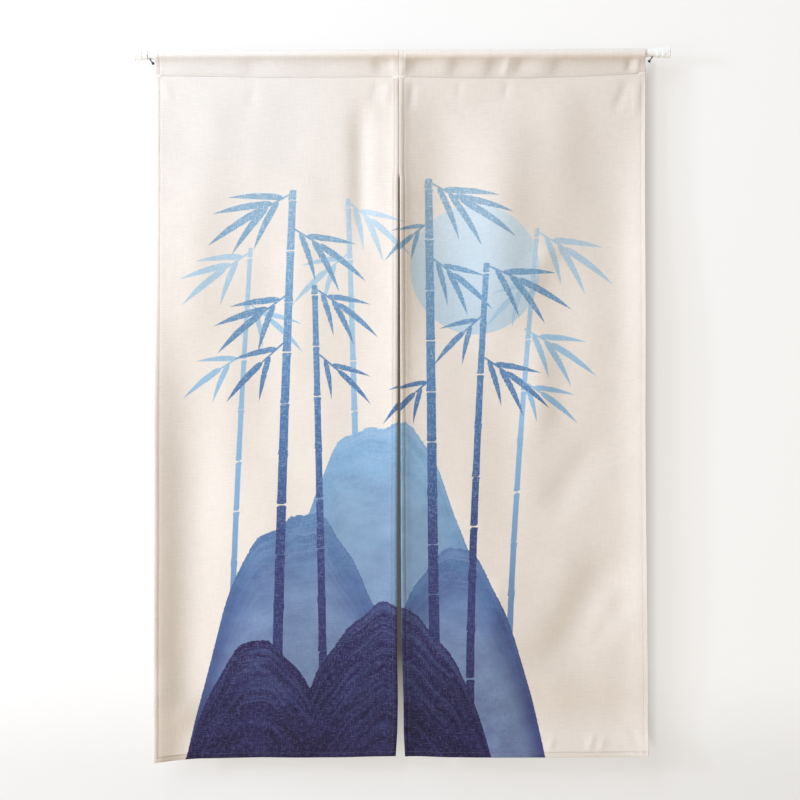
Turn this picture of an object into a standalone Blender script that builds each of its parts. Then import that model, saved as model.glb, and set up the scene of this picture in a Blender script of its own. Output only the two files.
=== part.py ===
"""Noren: two cloth panels, sewn together at the top, on a white rod that rests on two nails.

Metres, +Z up, +X to the viewer's right, +Y towards the wall. The origin lies on the
wall plane, behind the middle of the rod and level with the rod's axis.
"""
import math
from collections import namedtuple

import bmesh
import bpy
import numpy as np

# Driving sizes
CLEARANCE = 0.0003        # between pieces that touch
POCKET_EASE = 0.0006      # between the rod and the cloth over it
CLOTH = 0.0016            # thickness of the cloth as built
ROD_TO_WALL = 0.031       # rod axis in front of the wall plane
ROD_RISE = 0.0046         # the right end is this much higher for each metre
TUBE_RADIUS = 0.0072
TUBE_ENDS = (-0.4590, 0.4656)
CAP_BACK = 0.0028         # solid end of a cap, beyond the tube
CAP_LENGTH = 0.0240
CAP_HEAD = 0.0145         # length of the wide, ribbed end
CAP_HEAD_RADIUS = 0.0092
CAP_SLEEVE_RADIUS = 0.0085
RIB_GROOVE = 0.0006
NAIL_RADIUS = 0.0011
NAIL_LENGTH = 0.0420
COLLAR_RADIUS = 0.0024
COLLAR_LENGTH = 0.0012
NAIL_PLACES = {"left_nail": -0.4325, "right_nail": 0.4365}

# Grid of a panel: columns across, rows down, steps round the rod pocket
COLUMNS = 22
ROWS = 26
POCKET_STEPS = 6          # on each side, from the stitch row up to the rod
ARC_STEPS = 8             # over the rod
EDGE_CROWDING = 0.55      # how much closer the columns stand near a side
ROUND_SIDES = 24          # facets round the rod and its caps
NAIL_SIDES = 12

# The side edges of both panels, row by row down the cloth. They are sewn together
# down to the second row and hang free below it.
Side = namedtuple("Side", "z left_outer left_inner right_inner right_outer")
SIDES = (
    Side(0.0100, -0.4243, -0.00170, -0.00140, 0.4256),
    Side(-0.2110, -0.4240, -0.00170, -0.00140, 0.4250),
    Side(-0.2140, -0.4240, -0.0032, -0.0002, 0.4250),
    Side(-0.4300, -0.4243, -0.0036, 0.0004, 0.4252),
    Side(-0.6350, -0.4256, -0.0042, 0.0010, 0.4248),
    Side(-0.8450, -0.4251, -0.0050, 0.0016, 0.4266),
    Side(-1.0340, -0.4258, -0.0050, 0.0032, 0.4288),
    Side(-1.1220, -0.4250, -0.0036, 0.0060, 0.4304),
    Side(-1.1740, -0.4258, -0.0046, 0.0064, 0.4302),
    Side(-1.2190, -0.4258, -0.0074, 0.0086, 0.4296),
)

# Height of the stitch row below the rod pocket, and of the hem, from left to right
Level = namedtuple("Level", "x stitch_row hem")
LEVELS = (
    Level(-0.4260, -0.0372, -1.2272),
    Level(-0.4080, -0.0372, -1.2258),
    Level(-0.3470, -0.0385, -1.2220),
    Level(-0.2340, -0.0402, -1.2194),
    Level(-0.1040, -0.0399, -1.2192),
    Level(-0.0180, -0.0392, -1.2172),
    Level(0.0100, -0.0390, -1.2168),
    Level(0.1200, -0.0412, -1.2188),
    Level(0.2200, -0.0412, -1.2184),
    Level(0.3300, -0.0378, -1.2180),
    Level(0.4260, -0.0325, -1.2168),
)

# Soft folds: each is a rounded ridge (rise above 0) or trough along a line from its
# upper to its lower end. The half width is where it has lost two fifths of its rise.
Fold = namedtuple("Fold", "x_top z_top x_low z_low half_width rise")
LEFT_FOLDS = (
    Fold(-0.3600, -0.180, -0.3700, -0.540, 0.034, 0.0045),
    Fold(-0.2300, -0.300, -0.2500, -0.780, 0.045, -0.0030),
    Fold(-0.0760, -0.090, -0.0820, -0.330, 0.018, -0.0040),
    Fold(-0.1500, -0.120, -0.1400, -0.520, 0.040, 0.0030),
    Fold(-0.4240, -0.560, -0.4240, -1.300, 0.022, 0.0130),
    Fold(-0.3500, -0.620, -0.3450, -1.240, 0.030, -0.0040),
    Fold(-0.2300, -0.960, -0.1700, -1.200, 0.050, 0.0050),
    Fold(-0.4300, -1.180, -0.3700, -1.260, 0.030, 0.0060),
)
RIGHT_FOLDS = (
    Fold(0.1750, -0.100, 0.1700, -0.520, 0.040, 0.0065),
    Fold(0.0800, -0.110, 0.0850, -0.600, 0.026, -0.0035),
    Fold(0.3200, -0.080, 0.3300, -0.440, 0.034, -0.0045),
    Fold(0.4260, -0.100, 0.4260, -1.100, 0.022, 0.0070),
    Fold(0.2700, -0.480, 0.2500, -0.800, 0.034, 0.0040),
    Fold(0.3600, -0.660, 0.1500, -0.980, 0.026, 0.0050),
    Fold(0.3900, -0.840, 0.1600, -1.060, 0.024, -0.0055),
    Fold(0.4100, -0.960, 0.2700, -1.130, 0.024, 0.0050),
    Fold(0.1000, -1.150, 0.4200, -1.130, 0.030, -0.0045),
)

# The sewn seam stands out in a ridge that fades down the slit and away to each side
Crest = namedtuple("Crest", "z rise left_reach right_reach")
CRESTS = (
    Crest(0.0100, 0.0000, 0.024, 0.016),
    Crest(-0.0390, 0.0020, 0.024, 0.016),
    Crest(-0.1000, 0.0080, 0.028, 0.019),
    Crest(-0.3600, 0.0115, 0.034, 0.026),
    Crest(-0.6500, 0.0100, 0.040, 0.032),
    Crest(-0.9500, 0.0070, 0.046, 0.038),
    Crest(-1.2300, 0.0050, 0.050, 0.040),
)

# Small ridges where the rod pocket is gathered on the rod
Pucker = namedtuple("Pucker", "x lean half_width rise")
PUCKERS = (
    Pucker(-0.3950, 0.004, 0.014, 0.0016),
    Pucker(-0.2400, -0.006, 0.020, 0.0018),
    Pucker(-0.1200, 0.004, 0.018, 0.0015),
    Pucker(-0.0400, -0.004, 0.014, 0.0026),
    Pucker(0.0420, 0.006, 0.015, 0.0028),
    Pucker(0.1080, 0.005, 0.014, 0.0020),
    Pucker(0.1700, 0.008, 0.014, 0.0024),
    Pucker(0.2560, 0.006, 0.016, 0.0020),
    Pucker(0.3250, -0.004, 0.018, 0.0018),
    Pucker(0.3900, 0.006, 0.014, 0.0028),
)


def clear_scene():
    """Removes what the start-up scene holds."""
    for thing in list(bpy.data.objects):
        bpy.data.objects.remove(thing, do_unlink=True)


def make_material(name, colour, roughness, metallic=0.0):
    """A Principled material with the piece's colour."""
    material = bpy.data.materials.new(name)
    material.use_nodes = True
    shader = material.node_tree.nodes["Principled BSDF"]
    shader.inputs["Base Color"].default_value = (*colour, 1.0)
    shader.inputs["Roughness"].default_value = roughness
    shader.inputs["Metallic"].default_value = metallic
    return material


def add_object(name, mesh, material, parent=None):
    """Links a finished mesh to the scene as one named piece."""
    piece = bpy.data.objects.new(name, mesh)
    mesh.materials.append(material)
    bpy.context.scene.collection.objects.link(piece)
    piece.parent = parent
    return piece


def read_column(table, place, key, column):
    """Reads a column of a table at places between its rows, by straight lines."""
    rows = sorted(table, key=lambda row: getattr(row, key))
    keys = [getattr(row, key) for row in rows]
    values = [getattr(row, column) for row in rows]
    return np.interp(place, keys, values)


def fold_rise(folds, x, z):
    """How far the folds lift the cloth off its hanging plane, towards the viewer."""
    rise = np.zeros_like(x)
    for fold in folds:
        run = np.array((fold.x_low - fold.x_top, fold.z_low - fold.z_top))
        along = ((x - fold.x_top) * run[0] + (z - fold.z_top) * run[1]) / (run @ run)
        along = np.clip(along, 0.0, 1.0)
        away = np.hypot(x - fold.x_top - along * run[0], z - fold.z_top - along * run[1])
        rise += fold.rise * np.exp(-0.5 * (away / fold.half_width) ** 2)
    return rise


def crest_rise(side, x, z):
    """How far the ridge along the seam lifts the cloth."""
    seam = read_column(SIDES, z, "z", side + "_inner")
    reach = read_column(CRESTS, z, "z", side + "_reach")
    return read_column(CRESTS, z, "z", "rise") * np.exp(-np.abs(x - seam) / reach)


def cloth_rise(side, x, z):
    """The whole lift of a panel's front sheet. Above the stitch row it fades out."""
    folds = LEFT_FOLDS if side == "left" else RIGHT_FOLDS
    row = read_column(LEVELS, x, "x", "stitch_row")
    below = np.clip((row - z) / 0.060, 0.0, 1.0)
    ease = below * below * (3.0 - 2.0 * below)
    return fold_rise(folds, x, z) * ease + crest_rise(side, x, z)


def column_shares():
    """Places of the columns across a panel, from 0 to 1, closer near both sides."""
    even = np.linspace(0.0, 1.0, COLUMNS + 1)
    crowded = 0.5 - 0.5 * np.cos(math.pi * even)
    return even + EDGE_CROWDING * (crowded - even)


def sheet_points(side, share):
    """Front and back points of the hanging sheet for one column, hem first."""
    down = np.linspace(0.0, 1.0, ROWS + 1)
    top_x = read_column(SIDES, 0.0, "z", side + "_inner")
    outer_x = read_column(SIDES, 0.0, "z", side + "_outer")
    guess = sorted((top_x, outer_x))
    x_guess = guess[0] + share * (guess[1] - guess[0])
    hem = read_column(LEVELS, x_guess, "x", "hem")
    row = read_column(LEVELS, x_guess, "x", "stitch_row")
    z = hem + down * (row - hem)
    ends = np.sort([read_column(SIDES, z, "z", side + "_outer"),
                    read_column(SIDES, z, "z", side + "_inner")], axis=0)
    x = ends[0] + share * (ends[1] - ends[0])
    middle = -ROD_TO_WALL - CLOTH / 2 - cloth_rise(side, x, z)
    front = np.stack((x, middle - CLOTH / 2, z), axis=1)
    back = np.stack((x, middle + CLOTH / 2, z), axis=1)
    return front, back


def pocket_points(front_low, rod_z):
    """Outer and inner points of the rod pocket's loop for one column.

    The loop leaves the stitch row, runs up in a straight line that touches the circle
    round the rod, follows that circle over the top and comes down the back.
    """
    x, y_low, z_low = front_low
    y_seam = y_low + CLOTH
    rod = np.array((-ROD_TO_WALL, rod_z))
    inner_radius = (TUBE_RADIUS + POCKET_EASE) / math.cos(math.pi / (2 * ARC_STEPS))
    radius = inner_radius + CLOTH / 2
    paths = []
    for turn, y_start in ((-1, y_seam - CLOTH / 2), (1, y_seam + CLOTH / 2)):
        start = np.array((y_start, z_low))
        gap = rod - start
        distance = math.hypot(*gap)
        heading = math.atan2(gap[1], gap[0]) - turn * math.asin(radius / distance)
        touch = heading - turn * math.pi / 2
        touch_point = rod + radius * np.array((math.cos(touch), math.sin(touch)))
        paths.append((start, touch_point, touch))
    (start, first, first_turn), (end, last, last_turn) = paths
    first_turn = first_turn % (2 * math.pi)
    last_turn = last_turn % (2 * math.pi)
    if last_turn > math.pi:
        last_turn -= 2 * math.pi
    turns = np.linspace(first_turn, last_turn, ARC_STEPS + 1)
    arc = np.stack((np.cos(turns), np.sin(turns)), axis=1)
    shares = np.linspace(0.0, 1.0, POCKET_STEPS + 1)[:-1, None]
    front = start + shares * (first - start)
    back = (end + shares * (last - end))[::-1]
    middle = np.concatenate((front, rod + radius * arc, back))
    front_out = np.repeat([[math.cos(first_turn), math.sin(first_turn)]], len(front), axis=0)
    back_out = np.repeat([[math.cos(last_turn), math.sin(last_turn)]], len(back), axis=0)
    out = np.concatenate((front_out, arc, back_out))
    bulge = np.zeros(len(middle))
    height = shares[:, 0]
    for pucker in PUCKERS:
        near = (x - pucker.x - pucker.lean * height) / pucker.half_width
        swell = np.sin(math.pi * height) * np.exp(-0.5 * near ** 2)
        bulge[:len(front)] += pucker.rise * swell
    middle = middle + out * bulge[:, None]
    outer = middle + out * CLOTH / 2
    inner = middle - out * CLOTH / 2
    outer[0] = (y_low, z_low)
    outer[-1] = (y_seam + CLOTH, z_low)
    inner[0] = inner[-1] = (y_seam, z_low + CLOTH)
    x_row = np.full((len(middle), 1), x)
    return np.hstack((x_row, outer)), np.hstack((x_row, inner))


def make_panel(side, material):
    """One panel as one closed solid: the hanging sheet with its rod pocket on top."""
    points, outer_ids, inner_ids = [], [], []
    for share in column_shares():
        front, back = sheet_points(side, share)
        x_top = front[-1][0]
        outer, inner = pocket_points(front[-1], ROD_RISE * x_top)
        ring = np.vstack((front[:-1], outer, back[:-1][::-1]))
        outer_ids.append(list(range(len(points), len(points) + len(ring))))
        points.extend(ring)
        loop = inner[:-1]
        inner_ids.append(list(range(len(points), len(points) + len(loop))))
        points.extend(loop)
    faces = []
    ring_size, loop_size = len(outer_ids[0]), len(inner_ids[0])
    for now, then in zip(range(COLUMNS), range(1, COLUMNS + 1)):
        for ids, size in ((outer_ids, ring_size), (inner_ids, loop_size)):
            for k in range(size):
                after = (k + 1) % size
                faces.append((ids[now][k], ids[then][k], ids[then][after], ids[now][after]))
    for ids, loop in ((outer_ids[0], inner_ids[0]), (outer_ids[-1], inner_ids[-1])):
        for k in range(ROWS):
            faces.append((ids[k], ids[k + 1], ids[-2 - k], ids[-1 - k]))
        for k in range(loop_size):
            after = (k + 1) % loop_size
            faces.append((ids[ROWS + k], ids[ROWS + k + 1], loop[after], loop[k]))
        faces.append((ids[ROWS], loop[0], ids[ROWS + loop_size]))
    mesh = bpy.data.meshes.new(side + "_panel")
    mesh.from_pydata([tuple(point) for point in points], [], faces)
    tidy_mesh(mesh, smooth_angle=50)
    return add_object(side + "_panel", mesh, material)


def tidy_mesh(mesh, smooth_angle):
    """Turns the faces outwards and shades the mesh smooth between its sharp edges."""
    shape = bmesh.new()
    shape.from_mesh(mesh)
    bmesh.ops.remove_doubles(shape, verts=shape.verts, dist=1e-6)
    bmesh.ops.recalc_face_normals(shape, faces=shape.faces)
    shape.to_mesh(mesh)
    shape.free()
    mesh.shade_smooth()
    mesh.set_sharp_from_angle(angle=math.radians(smooth_angle))


def turned_mesh(name, profile, sides):
    """Spins a closed profile of (along, radius) points about the X axis."""
    shape = bmesh.new()
    verts = [shape.verts.new((along, 0.0, radius)) for along, radius in profile]
    loop = list(zip(verts, verts[1:] + verts[:1]))
    edges = [shape.edges.new(pair) for pair in loop
             if pair[0].co.z > 0.0 or pair[1].co.z > 0.0]
    bmesh.ops.spin(shape, geom=verts + edges, axis=(1, 0, 0), cent=(0, 0, 0),
                   steps=sides, angle=2 * math.pi, use_merge=True)
    mesh = bpy.data.meshes.new(name)
    shape.to_mesh(mesh)
    shape.free()
    tidy_mesh(mesh, smooth_angle=35)
    return mesh


def make_rod(parent, material):
    """The straight tube that carries the cloth."""
    low, high = TUBE_ENDS
    profile = [(low, 0.0), (low, TUBE_RADIUS), (high, TUBE_RADIUS), (high, 0.0)]
    return add_object("rod_tube", turned_mesh("rod_tube", profile, ROUND_SIDES), material, parent)


def cap_profile():
    """A cap's section from its closed outer end, at 0, to the mouth that takes the tube."""
    head, sleeve = CAP_HEAD_RADIUS, CAP_SLEEVE_RADIUS
    groove = head - RIB_GROOVE
    socket = TUBE_RADIUS + CLEARANCE
    return [
        (0.0, 0.0), (0.0, head - 0.0010), (0.0005, head - 0.0003), (0.0013, head),
        (0.0028, head), (0.0032, groove), (0.0044, groove), (0.0048, head),
        (0.0064, head), (0.0068, groove), (0.0080, groove), (0.0084, head),
        (CAP_HEAD - 0.0006, head), (CAP_HEAD, sleeve),
        (CAP_LENGTH - 0.0006, sleeve), (CAP_LENGTH, sleeve - 0.0005),
        (CAP_LENGTH, socket), (CAP_BACK - CLEARANCE, socket), (CAP_BACK - CLEARANCE, 0.0),
    ]


def make_caps(parent, material):
    """The two moulded caps, the left one turned half round about the upright axis."""
    mesh = turned_mesh("end_cap", cap_profile(), ROUND_SIDES)
    low, high = TUBE_ENDS
    left = add_object("left_end_cap", mesh, material, parent)
    left.location.x = low - CAP_BACK
    right = add_object("right_end_cap", mesh.copy(), material, parent)
    right.location.x = high + CAP_BACK
    right.rotation_euler.z = math.pi


def make_nail(name, x, material):
    """A thin nail square to the wall, with a small collar against it, under the rod."""
    tip = 0.0004
    profile = [
        (0.0, 0.0), (0.0, COLLAR_RADIUS), (COLLAR_LENGTH - tip / 2, COLLAR_RADIUS),
        (COLLAR_LENGTH, COLLAR_RADIUS - tip), (COLLAR_LENGTH, NAIL_RADIUS),
        (NAIL_LENGTH - tip, NAIL_RADIUS), (NAIL_LENGTH, NAIL_RADIUS - tip),
        (NAIL_LENGTH, 0.0),
    ]
    nail = add_object(name, turned_mesh(name, profile, NAIL_SIDES), material)
    rod_low = ROD_RISE * x - TUBE_RADIUS
    nail.location = (x, 0.0, rod_low - CLEARANCE - NAIL_RADIUS)
    nail.rotation_euler.z = -math.pi / 2


def main():
    """Builds every piece of the noren."""
    clear_scene()
    linen = make_material("linen", (0.86, 0.82, 0.76), 0.9)
    white_lacquer = make_material("white_lacquer", (0.90, 0.90, 0.89), 0.35)
    white_plastic = make_material("white_plastic", (0.92, 0.92, 0.91), 0.4)
    dark_steel = make_material("dark_steel", (0.05, 0.045, 0.04), 0.45, 0.9)
    rod_line = bpy.data.objects.new("rod_line", None)
    bpy.context.scene.collection.objects.link(rod_line)
    rod_line.location = (0.0, -ROD_TO_WALL, 0.0)
    rod_line.rotation_euler.y = -math.atan(ROD_RISE)
    make_rod(rod_line, white_lacquer)
    make_caps(rod_line, white_plastic)
    for side in ("left", "right"):
        make_panel(side, linen)
    for name, x in NAIL_PLACES.items():
        make_nail(name, x, dark_steel)


main()
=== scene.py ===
"""The looks of a noren: two printed linen panels on a white rod that rests on two nails."""
import math
from collections import namedtuple

import bpy
import numpy as np
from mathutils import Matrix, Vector


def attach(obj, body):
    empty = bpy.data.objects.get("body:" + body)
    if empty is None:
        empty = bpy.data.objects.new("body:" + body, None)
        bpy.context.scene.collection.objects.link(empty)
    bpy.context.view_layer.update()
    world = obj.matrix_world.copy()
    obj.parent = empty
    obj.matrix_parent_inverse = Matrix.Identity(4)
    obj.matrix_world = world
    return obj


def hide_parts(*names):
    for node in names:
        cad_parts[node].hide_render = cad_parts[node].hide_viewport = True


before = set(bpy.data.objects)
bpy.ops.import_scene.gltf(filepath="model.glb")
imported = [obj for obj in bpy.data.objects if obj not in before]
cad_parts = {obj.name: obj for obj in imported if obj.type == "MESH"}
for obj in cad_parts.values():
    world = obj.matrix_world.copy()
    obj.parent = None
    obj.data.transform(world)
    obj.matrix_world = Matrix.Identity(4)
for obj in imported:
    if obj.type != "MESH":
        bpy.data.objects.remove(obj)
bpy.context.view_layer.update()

# Sizes, in metres, in the frame's axes: +X right, +Y towards the wall, +Z up
ROD_TO_WALL = 0.031
ROD_RISE = 0.0046             # the right end is this much higher for each metre
TUBE_RADIUS = 0.0072
SOLID_CLOTH = 0.0016          # the cloth's thickness in the solids
CLOTH = 0.0008                # one layer of the cloth as drawn
HEM_LAYERS = 0.0010           # what the two turned-in layers add at the back
SIDE_HEM = 0.0098             # width of a side hem
FOOT_HEM = 0.0090
STITCH_IN = 0.0080            # from the edge to its stitch row
LOOP_RADIUS = 0.0086          # middle of the cloth where it passes over the rod
POCKET_HOLLOW = 0.0034        # how far the pocket's front sinks in below the rod
ROW_GAP = 0.0011              # between the middles of both layers at the stitch row
SEAM_END = -0.2110            # the panels are sewn together down to here
ROW_DROP = 0.0400             # from the rod's axis to the stitch row, on the flat cloth
PANEL_WIDTH = 0.4240          # flat
SHEET_DROP = 1.1790           # flat, from the hem to the stitch row
GRID_STEP = 0.0038            # of the cloth's mesh across, away from its edges

# Camera: a long lens, square to the wall, level with the middle of the cloth
PHOTO_PIXELS = 800
MM_PER_PIXEL = 1.7347         # at the cloth
ROD_PIXEL = 54.2              # height of the rod's axis in the picture, from its top
CAMERA_DISTANCE = 3.33        # from the wall
SENSOR = 36.0

# The side edges of both panels, row by row down the cloth
Side = namedtuple("Side", "z left_outer left_inner right_inner right_outer")
SIDES = (
    Side(0.0100, -0.4243, -0.00170, -0.00140, 0.4256),
    Side(-0.2110, -0.4240, -0.00170, -0.00140, 0.4250),
    Side(-0.2140, -0.4240, -0.0032, -0.0002, 0.4250),
    Side(-0.4300, -0.4243, -0.0036, 0.0004, 0.4252),
    Side(-0.6350, -0.4256, -0.0042, 0.0010, 0.4248),
    Side(-0.8450, -0.4251, -0.0050, 0.0016, 0.4266),
    Side(-1.0340, -0.4258, -0.0050, 0.0032, 0.4288),
    Side(-1.1220, -0.4250, -0.0036, 0.0060, 0.4304),
    Side(-1.1740, -0.4258, -0.0046, 0.0064, 0.4302),
    Side(-1.2190, -0.4258, -0.0074, 0.0086, 0.4296),
)

# How far each side edge of a panel rolls back, and the width over which it does
Roll = namedtuple("Roll", "left left_reach right right_reach")
ROLLS = {
    "left": Roll(0.0014, 0.0018, 0.0030, 0.0030),
    "right": Roll(0.0022, 0.0024, -0.0008, 0.0022),
}

# Height of the stitch row below the rod pocket, and of the hem, from left to right
Level = namedtuple("Level", "x stitch_row hem")
LEVELS = (
    Level(-0.4260, -0.0372, -1.2272),
    Level(-0.4080, -0.0372, -1.2258),
    Level(-0.3470, -0.0385, -1.2220),
    Level(-0.2340, -0.0402, -1.2194),
    Level(-0.1040, -0.0399, -1.2192),
    Level(-0.0180, -0.0392, -1.2172),
    Level(0.0100, -0.0390, -1.2168),
    Level(0.1200, -0.0412, -1.2188),
    Level(0.2200, -0.0412, -1.2184),
    Level(0.3300, -0.0378, -1.2180),
    Level(0.4260, -0.0325, -1.2168),
)

# Soft folds: rounded ridges (rise above 0) and troughs, each along a line
Fold = namedtuple("Fold", "x_top z_top x_low z_low half_width rise")
LEFT_FOLDS = (
    Fold(-0.3600, -0.160, -0.3700, -0.560, 0.034, 0.0045),
    Fold(-0.2300, -0.260, -0.2500, -0.820, 0.045, -0.0035),
    Fold(-0.0680, -0.060, -0.0680, -0.350, 0.0135, -0.0056),
    Fold(-0.1500, -0.100, -0.1400, -0.540, 0.040, 0.0032),
    Fold(-0.4270, -0.270, -0.4270, -1.750, 0.026, 0.0145),
    Fold(-0.3560, -0.480, -0.3500, -1.400, 0.030, -0.0040),
    Fold(-0.2300, -0.940, -0.1700, -1.260, 0.050, 0.0050),
    Fold(-0.4500, -1.090, -0.3400, -1.160, 0.024, 0.0070),
)
RIGHT_FOLDS = (
    Fold(0.0780, -0.080, 0.0800, -0.560, 0.034, -0.0050),
    Fold(0.1850, -0.060, 0.1780, -0.540, 0.046, 0.0085),
    Fold(0.3500, -0.060, 0.3600, -0.460, 0.046, -0.0065),
    Fold(0.4290, -0.060, 0.4290, -1.300, 0.022, 0.0095),
    Fold(0.2720, -0.310, 0.2140, -0.430, 0.014, 0.0026),
    Fold(0.2480, -0.460, 0.2380, -0.680, 0.020, 0.0042),
    Fold(0.3440, -0.660, 0.2560, -0.810, 0.021, -0.0038),
    Fold(0.3980, -0.840, 0.2420, -1.080, 0.029, -0.0070),
    Fold(0.4080, -0.920, 0.3300, -1.040, 0.013, -0.0020),
    Fold(0.1720, -0.910, 0.1580, -1.030, 0.012, 0.0028),
    Fold(0.0500, -1.000, 0.3100, -1.020, 0.036, 0.0045),
    Fold(-0.0500, -1.158, 0.6000, -1.136, 0.030, -0.0060),
)
# Creases too small for the solids, placed one by one
LEFT_CREASES = (
    Fold(-0.0200, -0.044, -0.0260, -0.100, 0.0040, 0.0010),
    Fold(-0.0400, -0.044, -0.0470, -0.085, 0.0050, -0.0009),
    Fold(-0.2520, -0.045, -0.2600, -0.095, 0.0070, -0.0008),
    Fold(-0.4100, -0.044, -0.3980, -0.085, 0.0050, 0.0009),
    Fold(-0.3000, -1.196, -0.2930, -1.214, 0.0035, 0.0009),
    Fold(-0.1400, -1.192, -0.1480, -1.212, 0.0035, 0.0008),
    Fold(-0.0300, -1.150, -0.0100, -1.190, 0.0060, 0.0012),
)
RIGHT_CREASES = (
    Fold(0.0230, -0.046, 0.0180, -0.100, 0.0045, -0.0012),
    Fold(0.1050, -0.046, 0.1000, -0.080, 0.0045, -0.0008),
    Fold(0.1900, -0.046, 0.1780, -0.080, 0.0045, -0.0009),
    Fold(0.3980, -0.042, 0.3700, -0.105, 0.0060, -0.0014),
    Fold(0.4130, -0.040, 0.4080, -0.110, 0.0050, 0.0011),
    Fold(0.1760, -1.178, 0.1660, -1.208, 0.0042, 0.0015),
    Fold(0.2680, -1.182, 0.2560, -1.208, 0.0042, 0.0014),
    Fold(0.3380, -1.180, 0.3240, -1.209, 0.0040, 0.0015),
    Fold(0.3560, -1.182, 0.3450, -1.209, 0.0040, 0.0013),
    Fold(0.3990, -1.168, 0.4180, -1.206, 0.0060, -0.0014),
    Fold(0.0900, -1.184, 0.0980, -1.208, 0.0045, 0.0010),
)

# The sewn seam stands out in a ridge that fades down the slit and away to each side
Crest = namedtuple("Crest", "z rise left_reach right_reach")
CRESTS = (
    Crest(0.0100, 0.0000, 0.024, 0.016),
    Crest(-0.0390, 0.0030, 0.024, 0.024),
    Crest(-0.1000, 0.0095, 0.028, 0.034),
    Crest(-0.3600, 0.0125, 0.034, 0.042),
    Crest(-0.6500, 0.0100, 0.040, 0.042),
    Crest(-0.9500, 0.0070, 0.046, 0.038),
    Crest(-1.2300, 0.0050, 0.050, 0.040),
)

# Ridges and hollows where the rod pocket is gathered on the rod
Pucker = namedtuple("Pucker", "x lean half_width rise")
PUCKERS = (
    Pucker(-0.4180, 0.002, 0.0070, -0.0014),
    Pucker(-0.2540, -0.004, 0.0120, -0.0022),
    Pucker(-0.1250, 0.004, 0.0450, -0.0014),
    Pucker(-0.0290, -0.006, 0.0095, -0.0050),
    Pucker(-0.0110, 0.001, 0.0050, 0.0014),
    Pucker(0.0060, 0.002, 0.0036, 0.0014),
    Pucker(0.0280, 0.002, 0.0110, -0.0060),
    Pucker(0.0990, 0.004, 0.0100, -0.0042),
    Pucker(0.1620, 0.006, 0.0100, -0.0048),
    Pucker(0.1800, 0.010, 0.0044, 0.0022),
    Pucker(0.2030, 0.012, 0.0070, -0.0046),
    Pucker(0.2720, 0.010, 0.0100, -0.0032),
    Pucker(0.3380, 0.000, 0.0340, -0.0030),
    Pucker(0.3970, 0.003, 0.0042, -0.0032),
    Pucker(0.4090, 0.003, 0.0050, 0.0022),
)

# The print. Hills stand behind and before bamboo; a pale disc hangs behind both.
Hill = namedtuple("Hill", "layer x half_width z_top swell phase")
HILLS = (
    Hill("far_hill", -0.030, 0.235, -0.640, 0.010, 0.4),
    Hill("middle_hill", -0.170, 0.215, -0.800, 0.009, 1.9),
    Hill("middle_hill", 0.090, 0.165, -0.860, 0.008, 3.0),
    Hill("near_hill", -0.240, 0.150, -1.020, 0.006, 0.9),
    Hill("near_hill", -0.020, 0.190, -0.960, 0.008, 2.4),
)
Culm = namedtuple("Culm", "layer x_foot x_head z_head width")
CULMS = (
    Culm("pale_bamboo", -0.296, -0.258, -0.335, 0.0115),
    Culm("pale_bamboo", -0.062, -0.088, -0.250, 0.0130),
    Culm("pale_bamboo", 0.176, 0.236, -0.300, 0.0115),
    Culm("deep_bamboo", -0.212, -0.184, -0.235, 0.0190),
    Culm("deep_bamboo", -0.128, -0.146, -0.400, 0.0150),
    Culm("deep_bamboo", 0.056, 0.048, -0.215, 0.0200),
    Culm("deep_bamboo", 0.112, 0.148, -0.360, 0.0150),
)
# A twig from a culm with leaves on both sides and one at its end, by layer
Spray = namedtuple("Spray", "x z heading length leaves")
SPRAYS = {
    "pale_bamboo": (
        Spray(-0.258, -0.342, 214, 0.105, 4),
        Spray(-0.262, -0.430, 322, 0.090, 3),
        Spray(-0.270, -0.520, 212, 0.090, 3),
        Spray(-0.088, -0.256, 322, 0.098, 4),
        Spray(-0.086, -0.345, 218, 0.092, 3),
        Spray(0.236, -0.306, 328, 0.112, 4),
        Spray(0.226, -0.390, 222, 0.080, 3),
        Spray(0.214, -0.475, 330, 0.104, 4),
        Spray(0.204, -0.560, 326, 0.090, 3),
    ),
    "deep_bamboo": (
        Spray(-0.184, -0.240, 208, 0.122, 5),
        Spray(-0.186, -0.300, 328, 0.112, 4),
        Spray(-0.192, -0.415, 216, 0.112, 4),
        Spray(-0.200, -0.500, 222, 0.100, 3),
        Spray(-0.146, -0.405, 326, 0.098, 4),
        Spray(-0.138, -0.520, 320, 0.088, 3),
        Spray(0.048, -0.220, 332, 0.124, 5),
        Spray(0.049, -0.290, 220, 0.070, 3),
        Spray(0.050, -0.350, 324, 0.098, 4),
        Spray(0.148, -0.364, 336, 0.116, 4),
        Spray(0.142, -0.450, 222, 0.086, 3),
        Spray(0.138, -0.520, 326, 0.104, 4),
        Spray(0.054, -0.560, 222, 0.080, 3),
    ),
}
DISC_PLACE = (0.128, -0.372)
DISC_RADIUS = 0.112
# The layers from the back to the front. Each colour goes with metres below the rod.
PRINT_COLOURS = {
    "disc": ((0.20, "#C9D4DA"), (0.50, "#B3C3CD")),
    "pale_bamboo": ((0.20, "#BDCAD2"), (0.45, "#9BB9CC"), (0.70, "#82A9C9"), (1.20, "#55628C")),
    "far_hill": ((0.60, "#86AFD0"), (0.80, "#6F93B3"), (1.20, "#4C5F8A")),
    "middle_hill": ((0.76, "#5A7DA6"), (0.95, "#48608C"), (1.22, "#383A66")),
    "deep_bamboo": ((0.20, "#90AABA"), (0.40, "#6A92B2"), (0.62, "#4A6F9C"), (0.85, "#363F70"),
                    (1.22, "#231C42")),
    "near_hill": ((0.92, "#302B58"), (1.05, "#241D45"), (1.22, "#170F2C")),
}
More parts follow.
